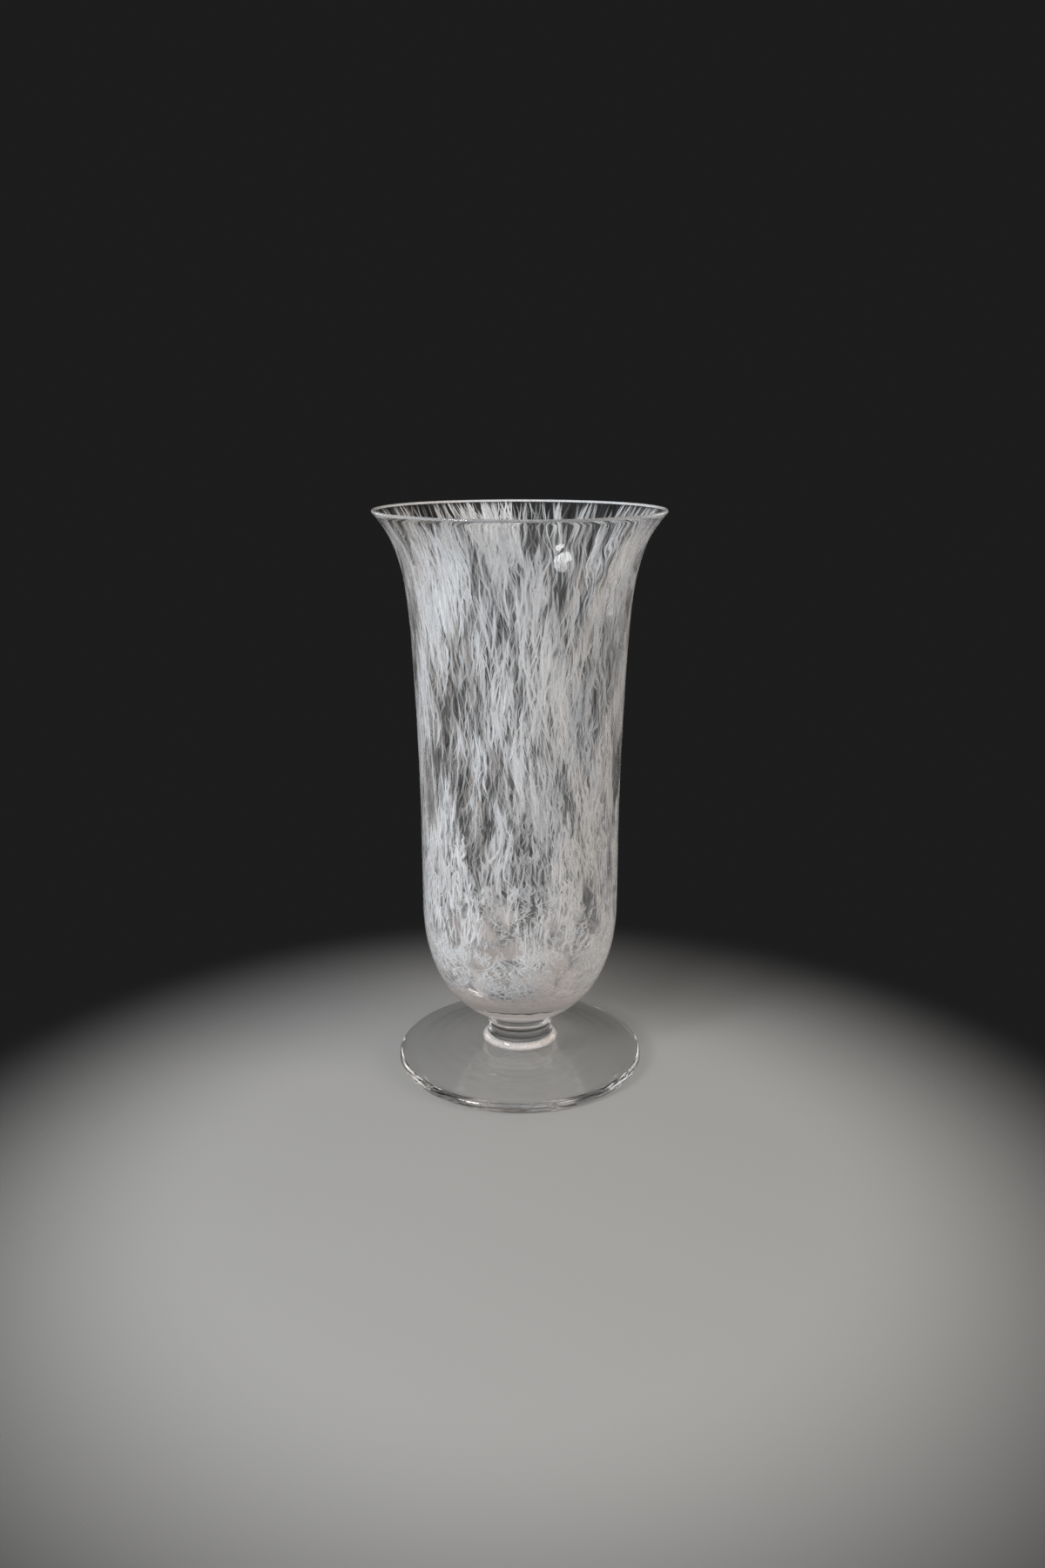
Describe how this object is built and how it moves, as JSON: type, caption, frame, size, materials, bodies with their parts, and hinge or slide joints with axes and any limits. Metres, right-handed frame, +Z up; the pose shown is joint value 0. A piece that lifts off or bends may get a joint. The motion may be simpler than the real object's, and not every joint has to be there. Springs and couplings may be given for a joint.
{
  "type": "footed glass vase",
  "caption": "Footed blown-glass flower vase: flared trumpet bowl with white streaks between two clear layers, short solid stem, shallow round foot.",
  "frame": {"origin": "centre of the ring that the foot stands on", "axes": "+Z up along the vase's axis; the vase is round, so X and Y are free"},
  "size_m": [0.1058, 0.1058, 0.215],
  "materials": {
    "clear_lining": "fire-polished clear glass",
    "white_glass": "white glass chips drawn out into streaks",
    "clear_casing": "fire-polished clear glass with a faint warm tint",
    "clear_stem": "fire-polished clear glass",
    "clear_foot": "fire-polished clear glass, ground pontil mark below"
  },
  "bodies": {
    "root": {"bowl_lining": "clear_lining", "white_streaks": "white_glass", "bowl_casing": "clear_casing", "stem": "clear_stem", "foot": "clear_foot"}
  },
  "joints": []
}
